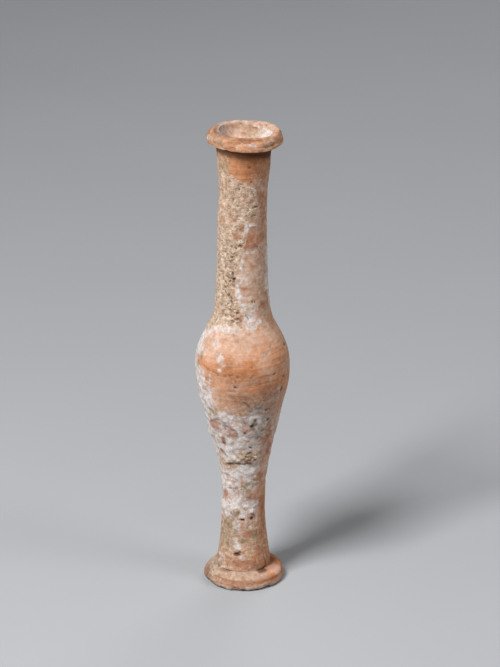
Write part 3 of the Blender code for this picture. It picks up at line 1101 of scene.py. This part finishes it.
# The deepest holes get painted shade here; the patches, the mouth and the rim's and lip's edges are
# darkened too.
rubbed_in_and_shade = added_marks(RUBBED_AND_SHADE_MARKS, edge=1.0) + 0.04 * mouth + 0.35 * soft_share(pits, 0.9, 1.3)
rubbed_in_and_shade += 0.22 * above(198.4, 199.4) * fade_out(radius, 11.3, 13.4) * left_side
rubbed_in_and_shade += 0.12 * above(198.6, 199.4) * facing(0, 40, 70)
rubbed_in_and_shade += 0.2 * above(195, 196) * facing(-70, 25, 60)
rubbed_in_and_shade += 0.12 * below(8, 16) * (1.0 - 0.8 * clean_foot)
# Painted shade adds up here: the lip's shadow, the crease at the foot's right, under the ledge and in the
# hollows; the dark lines darken too.
shade_and_grime = 0.88 * corner + 0.4 * stem_foot_shade * soft_share(angle, 20, 45) * right_side
shade_and_grime += 0.8 * under_ledge + 0.5 * hollow_shade + 0.7 * dark_lines
shade_and_grime = np.clip(shade_and_grime + rubbed_in_and_shade + 0.3 * contact_shadow, 0.0, 1.0)
print("darkened points:", int((shade_and_grime > 0.5).sum()))

# %% Keep the underside flat on the ground
flat = read_mesh(flask.data)[0] * MM
flat[:, 2] = np.maximum(flat[:, 2], 0.0)
flask.data.vertices.foreach_set("co", flat.ravel())
flask.data.update()
print("lowest point in mm:", round(float(flat[:, 2].min() / MM), 3))

# %% [markdown]
# ## Handing the layers to the material
#
# The same arrays that shaped the crusts tell the material where each layer lies. Each is stored
# on the mesh as an attribute, which an Attribute node reads by name. Inside the mouth the layers
# are given one by one: pinkish film, whiter at the sides, with a few brown streaks on the far wall.

# %% Attributes
MOUTH_DIRT_MARKS = [(156, 197.7, 2.4, 0.8, 1), (-173, 199, 2, 0.8, 0.7)]
MOUTH_RUST_MARKS = [(165, 197.4, 6, 2, 0.6), (-150, 198, 6, 1.4, 0.5), (-70, 197, 8, 5, 0.4)]

# The white on the dish's left is partly lime and partly painted light, lightening the wall that the rim
# shades.
mouth_lime_and_light = 0.24 + 0.55 * facing(110, 15, 60) + 0.4 * left_side + 0.5 * (mottle - 0.5)
mouth_dirt = mouth * added_marks(MOUTH_DIRT_MARKS)
mouth_rust = mouth * added_marks(MOUTH_RUST_MARKS)
LAYERS = {
    "tone": tone,
    "film": film,
    "lime": np.clip(np.maximum(lime, mouth * mouth_lime_and_light), 0.0, 1.3),
    "soil": np.maximum(soil, 0.3 * mouth * coarse),
    "rust": np.maximum(rust, 0.8 * mouth_rust),
    "olive": np.maximum(olive, 0.5 * mouth * mark(150, 195, 9, 6)),
    "gaps": 0.48 * gaps,
    # The pits' dark colour is partly dirt and partly painted shade in the holes.
    "dirt_and_pit_shade": np.clip(pits + 0.9 * small_pits + 0.7 * mouth_dirt, 0.0, 1.0),
    "shade_and_grime": shade_and_grime,
}
for name, values in LAYERS.items():
    layer = flask.data.attributes.new(name=name, type="FLOAT", domain="POINT")
    layer.data.foreach_set("value", values.astype(np.float32))
print("layers:", list(LAYERS))

# %% [markdown]
# ## The material
#
# Unglazed terracotta is matt, with a little variation from orange to salmon and very fine grain.
# Over it lie the coats that the attributes place. Each coat has a dark and a light colour with
# its own mottling, an edge broken up by fine noise or by its grains, and a grain height that
# bumps the surface. They are added in a loop: film, lime and soil, then the stains, then the
# dark gaps and pits.

# %% Terracotta with soil and lime
CLAY_PATCH_MM = 2.0
RING_MM, RING_STRETCH, RING_RELIEF_MM = 0.8, 0.05, 0.1
ROUGH_NOISE = 0.65
COATS = [
    # attribute, dark, light, patches mm, flecks, edge width, opacity, grain mm, grain height mm
    ("film", "#A1806A", "#D8C0AE", 2.2, 1.0, 0.5, 0.8, 0.7, 0.05),
    ("lime", "#B7A69B", "#F1ECEA", 1.8, 1.4, 0.38, 0.92, 0.6, 0.09),
    ("soil", "#A68363", "#E8D3C0", 1.8, 1.6, 0.3, 1.0, 0.7, 0.2),
    ("rust", "#91583F", "#BE8768", 2.2, 1.5, 0.4, 0.75, 0.8, 0.08),
    ("olive", "#77664D", "#B09B7B", 1.8, 1.5, 0.4, 0.74, 0.8, 0.08),
    # gaps: painted shade between the crust's grains
    ("gaps", "#5E432F", "#8E6F54", 1.2, 1.0, 0.16, 0.85, 0.7, 0.0),
    # the pits' colour: partly dirt, partly painted shade
    ("dirt_and_pit_shade", "#412D20", "#70523D", 1.2, 0.7, 0.35, 0.85, 0.8, 0.0),
]
BETWEEN_GRAINS = ["gaps"]

terracotta = bpy.data.materials.new("unglazed_terracotta")
terracotta.use_nodes = True
tree = terracotta.node_tree
shader = tree.nodes["Principled BSDF"]
shader.inputs["Roughness"].default_value = 0.92
shader.inputs["IOR"].default_value = 1.5
shader.inputs["Specular IOR Level"].default_value = 0.12
place = add_node(tree, "ShaderNodeTexCoord")
mapping = add_node(
    tree, "ShaderNodeMapping", {"Vector": place.outputs["Object"], "Scale": (1 / MM, 1 / MM, 1 / MM)})
in_mm = mapping.outputs["Vector"]
in_rings = add_node(
    tree, "ShaderNodeMapping", {"Vector": in_mm, "Scale": (RING_STRETCH, RING_STRETCH, 1.0)})

tone_node = add_node(tree, "ShaderNodeAttribute", attribute_name="tone")
clay_noise = add_node(
    tree, "ShaderNodeTexNoise",
    {"Vector": in_mm, "Scale": 1 / CLAY_PATCH_MM, "Detail": 5.0, "Roughness": ROUGH_NOISE})
clay_tone = add_node(
    tree, "ShaderNodeMath", {0: clay_noise.outputs["Fac"], 1: 0.9, 2: tone_node.outputs["Fac"]},
    operation="MULTIPLY_ADD")
clay_share = add_node(
    tree, "ShaderNodeMapRange", {"Value": clay_tone.outputs[0], "From Min": 0.45, "From Max": 1.45})
clay_ramp = add_node(tree, "ShaderNodeValToRGB", {"Fac": clay_share.outputs["Result"]})
stops = clay_ramp.color_ramp.elements
stops[0].color = linear("#97603E")
stops[1].color = linear("#E6BAA3")
stops.new(0.5).color = linear("#C88A61")
ring_noise = add_node(
    tree, "ShaderNodeTexNoise",
    {"Vector": in_rings.outputs["Vector"], "Scale": 1 / RING_MM, "Detail": 3.0})
ring_shade = add_node(
    tree, "ShaderNodeMapRange",
    {"Value": ring_noise.outputs["Fac"], "From Min": 0.3, "From Max": 0.7, "To Min": 0.8, "To Max": 1.12})
surface = add_node(
    tree, "ShaderNodeMix", {0: 1.0, 6: clay_ramp.outputs["Color"], 7: ring_shade.outputs["Result"]},
    data_type="RGBA", blend_type="MULTIPLY")
relief = add_node(
    tree, "ShaderNodeMath", {0: ring_noise.outputs["Fac"], 1: RING_RELIEF_MM}, operation="MULTIPLY")

for name, dark, light, mottling, flecks, width, opacity, grain, grain_height in COATS:
    where = add_node(tree, "ShaderNodeAttribute", attribute_name=name)
    mottle_noise = add_node(
        tree, "ShaderNodeTexNoise",
        {"Vector": in_mm, "Scale": 1 / mottling, "Detail": 4.0, "Roughness": ROUGH_NOISE})
    fleck_noise = add_node(
        tree, "ShaderNodeTexNoise",
        {"Vector": in_mm, "Scale": 1 / (2.0 * grain), "Detail": 4.0, "Roughness": ROUGH_NOISE})
    grains = add_node(tree, "ShaderNodeTexVoronoi", {"Vector": in_mm, "Scale": 1 / grain})
    pattern = grains.outputs["Distance"] if name in BETWEEN_GRAINS else fleck_noise.outputs["Fac"]
    broken = add_node(
        tree, "ShaderNodeMath", {0: pattern, 1: flecks, 2: where.outputs["Fac"]},
        operation="MULTIPLY_ADD")
    halfway = 0.5 + flecks / 2
    amount = add_node(
        tree, "ShaderNodeMapRange",
        {"Value": broken.outputs[0], "From Min": halfway - width, "From Max": halfway + width,
         "To Min": 0.0, "To Max": opacity},
        interpolation_type="SMOOTHSTEP")
    spread = add_node(
        tree, "ShaderNodeMapRange",
        {"Value": mottle_noise.outputs["Fac"], "From Min": 0.32, "From Max": 0.68})
    coat = add_node(
        tree, "ShaderNodeMix", {0: spread.outputs["Result"], 6: linear(dark), 7: linear(light)},
        data_type="RGBA")
    surface = add_node(
        tree, "ShaderNodeMix",
        {0: amount.outputs["Result"], 6: surface.outputs[2], 7: coat.outputs[2]}, data_type="RGBA")
    bumps = add_node(
        tree, "ShaderNodeMath", {0: grains.outputs["Distance"], 1: -grain_height},
        operation="MULTIPLY")
    relief = add_node(
        tree, "ShaderNodeMix",
        {0: amount.outputs["Result"], 2: relief.outputs[0], 3: bumps.outputs[0]}, data_type="FLOAT")

# This attribute multiplies the colour by a dark brown: mostly painted shade, with some darker patches.
shade_and_grime_node = add_node(tree, "ShaderNodeAttribute", attribute_name="shade_and_grime")
surface = add_node(
    tree, "ShaderNodeMix",
    {0: shade_and_grime_node.outputs["Fac"], 6: surface.outputs[2], 7: linear("#5C3B29")},
    data_type="RGBA", blend_type="MULTIPLY")
tree.links.new(surface.outputs[2], shader.inputs["Base Color"])
bump = add_node(
    tree, "ShaderNodeBump", {"Height": relief.outputs[0], "Strength": 1.0, "Distance": MM})
tree.links.new(bump.outputs["Normal"], shader.inputs["Normal"])
flask.data.materials.clear()
flask.data.materials.append(terracotta)
print("nodes in the material:", len(tree.nodes))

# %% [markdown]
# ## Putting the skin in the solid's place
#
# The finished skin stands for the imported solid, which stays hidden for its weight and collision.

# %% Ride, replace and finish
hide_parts("unguentarium")
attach(flask, "root")
